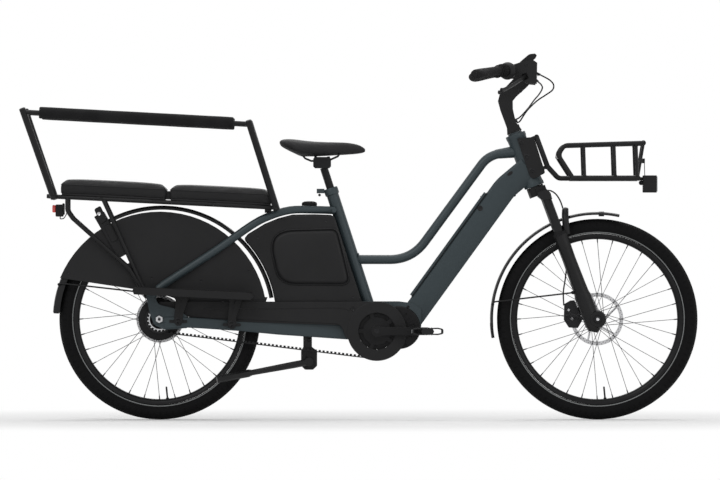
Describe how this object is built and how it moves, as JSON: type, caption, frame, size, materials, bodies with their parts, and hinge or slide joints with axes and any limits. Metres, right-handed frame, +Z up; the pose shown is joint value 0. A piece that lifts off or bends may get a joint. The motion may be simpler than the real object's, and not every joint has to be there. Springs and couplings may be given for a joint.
{
  "type": "longtail cargo bicycle",
  "caption": "Electric longtail cargo bicycle with belt drive, padded rear deck with hand rails, front rack, fenders, wheel lock and kickstand.",
  "frame": {"origin": "middle of the underside of the overall box, on the ground between the wheels", "axes": "+X forward, +Y to the rider's left, +Z up"},
  "size_m": [2.2778, 0.687, 1.2319],
  "materials": {
    "frame_paint": "satin dark slate with a petrol-green cast, metallic",
    "satin_black_metal": "satin black",
    "black_plastic": "matte black, fine grain",
    "tyre_rubber": "matte black with a grey reflective line on each side wall",
    "soft_rubber": "matte black",
    "pad_vinyl": "black coated cloth, low sheen",
    "bare_steel": "brushed",
    "dark_steel": "dark plated steel",
    "red_lens": "red lens in a black housing",
    "lamp": "black housing with a clear lens"
  },
  "bodies": {
    "frame": {"frame": "frame_paint", "motor_unit": "satin_black_metal", "battery_pack": "frame_paint", "frame_box": "black_plastic", "belt_guard": "black_plastic", "drive_belt": "soft_rubber", "rear_rack": "satin_black_metal", "seat_pad_rear": "pad_vinyl", "seat_pad_front": "pad_vinyl", "handrail": "satin_black_metal", "foam_sleeve_right": "soft_rubber", "foam_sleeve_left": "soft_rubber", "footrest_right": "black_plastic", "footrest_left": "black_plastic", "rear_fender": "black_plastic", "skirt_right": "black_plastic", "skirt_left": "black_plastic", "ring_lock": "black_plastic", "rear_light": "red_lens", "front_rack": "satin_black_metal", "headlight": "lamp", "rear_caliper": "satin_black_metal", "rear_axle": "dark_steel", "kickstand_bracket": "satin_black_metal"},
    "port_cap": {"port_cap": "black_plastic"},
    "lock_bolt": {"lock_bolt": "dark_steel"},
    "kickstand": {"kickstand_legs": "satin_black_metal"},
    "seatpost": {"seatpost": "satin_black_metal", "saddle_rails": "dark_steel", "saddle": "pad_vinyl"},
    "steering": {"fork_crown": "satin_black_metal", "stem": "satin_black_metal", "handlebar": "satin_black_metal", "grip_right": "soft_rubber", "grip_left": "soft_rubber", "brake_body_right": "satin_black_metal", "brake_body_left": "satin_black_metal", "display": "black_plastic", "brake_hose_right": "soft_rubber", "brake_hose_left": "soft_rubber"},
    "shifter": {"twist_shifter": "soft_rubber"},
    "lever_right": {"brake_lever_right": "satin_black_metal"},
    "lever_left": {"brake_lever_left": "satin_black_metal"},
    "fork_lowers": {"fork_lowers": "satin_black_metal", "front_fender": "black_plastic", "front_caliper": "satin_black_metal", "front_axle": "dark_steel"},
    "front_wheel": {"front_tyre": "tyre_rubber", "front_rim": "satin_black_metal", "front_hub": "satin_black_metal", "front_rotor": "bare_steel"},
    "rear_wheel": {"rear_tyre": "tyre_rubber", "rear_rim": "satin_black_metal", "rear_hub": "satin_black_metal", "rear_rotor": "bare_steel"},
    "rear_sprocket": {"rear_sprocket": "bare_steel"},
    "crank": {"crank_right": "satin_black_metal", "crank_left": "satin_black_metal"},
    "pedal_right": {"pedal_right": "black_plastic"},
    "pedal_left": {"pedal_left": "black_plastic"}
  },
  "joints": [
    {"name": "steering_turn", "type": "hinge", "parent": "frame", "child": "steering", "pos_m": [0.76061, 0, 0.32308], "axis": [-0.3469, 0, 0.9379], "range_deg": [-45, 45]},
    {"name": "fork_travel", "type": "slide", "parent": "steering", "child": "fork_lowers", "axis": [-0.3469, 0, 0.9379], "range_m": [0, 0.06], "stiffness_N_per_m": 12000, "springref_m": -0.02},
    {"name": "front_wheel_spin", "type": "hinge", "parent": "fork_lowers", "child": "front_wheel", "pos_m": [0.80094, 0, 0.338], "axis": [0, 1, 0], "continuous": true},
    {"name": "rear_wheel_spin", "type": "hinge", "parent": "frame", "child": "rear_wheel", "pos_m": [-0.67206, 0, 0.338], "axis": [0, 1, 0], "continuous": true},
    {"name": "crank_spin", "type": "hinge", "parent": "frame", "child": "crank", "pos_m": [0.05894, 0, 0.298], "axis": [0, 1, 0], "continuous": true},
    {"name": "rear_sprocket_spin", "type": "hinge", "parent": "frame", "child": "rear_sprocket", "pos_m": [-0.67206, 0, 0.338], "axis": [0, 1, 0], "continuous": true},
    {"name": "pedal_right_spin", "type": "hinge", "parent": "crank", "child": "pedal_right", "pos_m": [0.22894, -0.144, 0.298], "axis": [0, 1, 0], "continuous": true},
    {"name": "pedal_left_spin", "type": "hinge", "parent": "crank", "child": "pedal_left", "pos_m": [-0.11106, 0.144, 0.298], "axis": [0, 1, 0], "continuous": true},
    {"name": "kickstand_swing", "type": "hinge", "parent": "frame", "child": "kickstand", "pos_m": [-0.16906, 0, 0.194], "axis": [0, 1, 0], "range_deg": [-105, 0]},
    {"name": "brake_lever_left_pull", "type": "hinge", "parent": "steering", "child": "lever_left", "pos_m": [0.55481, 0.146, 1.15037], "axis": [0.569, 0.5544, 0.6074], "range_deg": [0, 14], "stiffness_Nm_per_rad": 1.2, "springref_deg": -8.59},
    {"name": "brake_lever_right_pull", "type": "hinge", "parent": "steering", "child": "lever_right", "pos_m": [0.55481, -0.146, 1.15037], "axis": [-0.569, 0.5544, -0.6074], "range_deg": [0, 14], "stiffness_Nm_per_rad": 1.2, "springref_deg": -8.59},
    {"name": "shifter_twist", "type": "hinge", "parent": "steering", "child": "shifter", "pos_m": [0.49164, -0.17, 1.17125], "axis": [-0.586, -0.8099, 0.0279], "range_deg": [-90, 90]},
    {"name": "seatpost_height", "type": "slide", "parent": "frame", "child": "seatpost", "axis": [-0.309, 0, 0.9511], "range_m": [-0.06, 0.12]},
    {"name": "lock_bolt_turn", "type": "hinge", "parent": "frame", "child": "lock_bolt", "pos_m": [-0.82506, 0, 0.603], "axis": [-0.866, 0, -0.5], "range_deg": [0, 172]},
    {"name": "port_cap_open", "type": "hinge", "parent": "frame", "child": "port_cap", "pos_m": [-0.22906, 0, 0.6938], "axis": [0, 1, 0], "range_deg": [-100, 0]}
  ],
  "couplings": [
    {"joint": "rear_sprocket_spin", "follows": "crank_spin", "ratio": 2.2}
  ]
}
